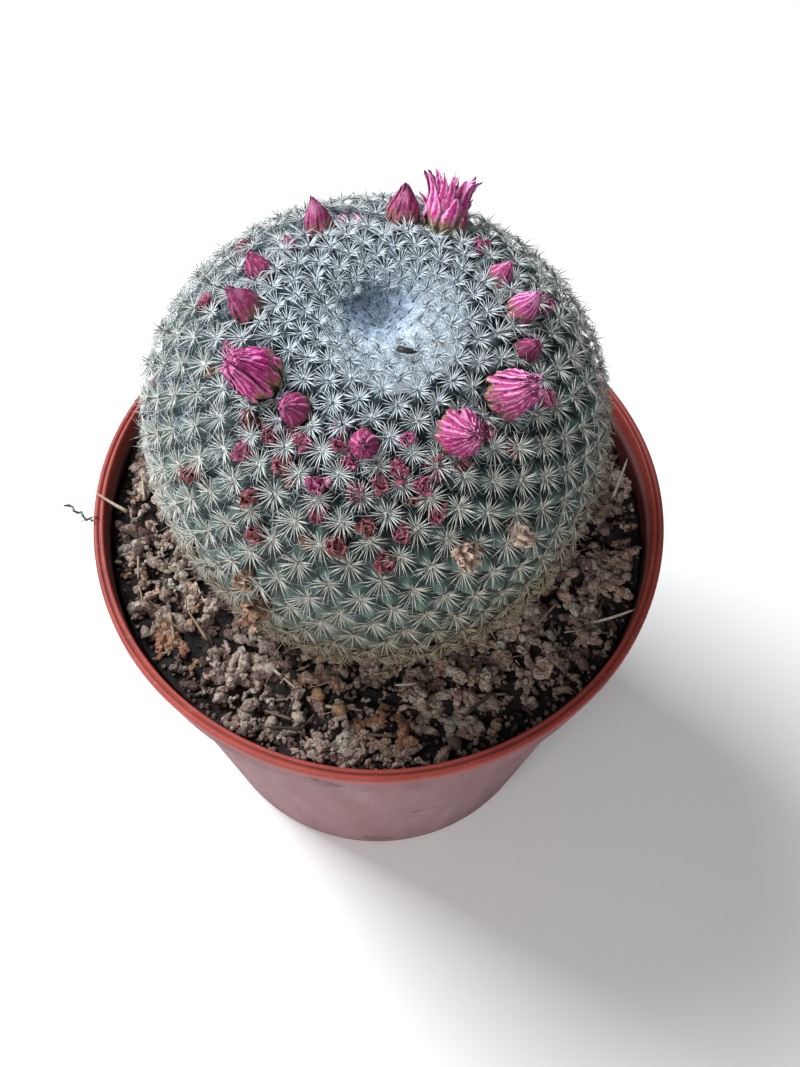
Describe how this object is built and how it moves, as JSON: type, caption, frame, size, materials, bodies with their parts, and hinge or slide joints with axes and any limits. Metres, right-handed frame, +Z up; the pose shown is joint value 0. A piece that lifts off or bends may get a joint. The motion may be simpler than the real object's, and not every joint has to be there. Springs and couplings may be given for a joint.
{
  "type": "potted round cactus",
  "caption": "Flattened globular cactus with spiral rows of spiny tubercles, a woolly crown, a ring of pink buds and shrivelled spent blooms, in gritty soil in a tapered plastic nursery pot.",
  "frame": {"origin": "centre of the circle that the pot stands on", "axes": "+Z up; +X to the viewer's right and -Y towards the viewer, with the half-open bud at the back"},
  "size_m": [0.12, 0.12, 0.1678],
  "materials": {
    "pot_plastic": "worn terracotta-red polypropylene, chalky and dusty outside, darker inside",
    "gritty_soil": "loose damp peat with grit, perlite and root ends",
    "stem_and_spines": "waxy blue-green skin under white, cream and dark bristly spines",
    "white_wool": "dense white plant wool and fine young spines",
    "pink_bloom": "satin magenta petals with pale margins, greenish at the foot",
    "spent_bloom": "dry, crumpled, dark red to brown"
  },
  "bodies": {
    "root": {"bloom_01": "pink_bloom", "bloom_02": "pink_bloom", "bloom_03": "pink_bloom", "bloom_04": "pink_bloom", "bloom_05": "pink_bloom", "bloom_06": "pink_bloom", "bloom_07": "pink_bloom", "bloom_08": "pink_bloom", "bloom_09": "pink_bloom", "bloom_10": "pink_bloom", "bloom_11": "pink_bloom", "bloom_12": "pink_bloom", "bloom_13": "pink_bloom", "bloom_14": "pink_bloom", "bloom_15": "pink_bloom", "crown_wool": "white_wool", "pot": "pot_plastic", "soil": "gritty_soil", "spent_bloom_01": "spent_bloom", "spent_bloom_02": "spent_bloom", "spent_bloom_03": "spent_bloom", "spent_bloom_04": "spent_bloom", "spent_bloom_05": "spent_bloom", "spent_bloom_06": "spent_bloom", "spent_bloom_07": "spent_bloom", "spent_bloom_08": "spent_bloom", "spent_bloom_09": "spent_bloom", "spent_bloom_10": "spent_bloom", "spent_bloom_11": "spent_bloom", "spent_bloom_12": "spent_bloom", "spent_bloom_13": "spent_bloom", "spent_bloom_14": "spent_bloom", "spent_bloom_15": "spent_bloom", "spent_bloom_16": "spent_bloom", "spent_bloom_17": "spent_bloom", "spent_bloom_18": "spent_bloom", "spent_bloom_19": "spent_bloom", "spent_bloom_20": "spent_bloom", "spent_bloom_21": "spent_bloom", "spent_bloom_22": "spent_bloom", "spent_bloom_23": "spent_bloom", "spent_bloom_24": "spent_bloom", "spent_bloom_25": "spent_bloom", "spent_bloom_26": "spent_bloom", "spent_bloom_27": "spent_bloom", "spent_bloom_28": "spent_bloom", "spent_bloom_29": "spent_bloom", "spent_bloom_30": "spent_bloom", "stem": "stem_and_spines"}
  },
  "joints": []
}
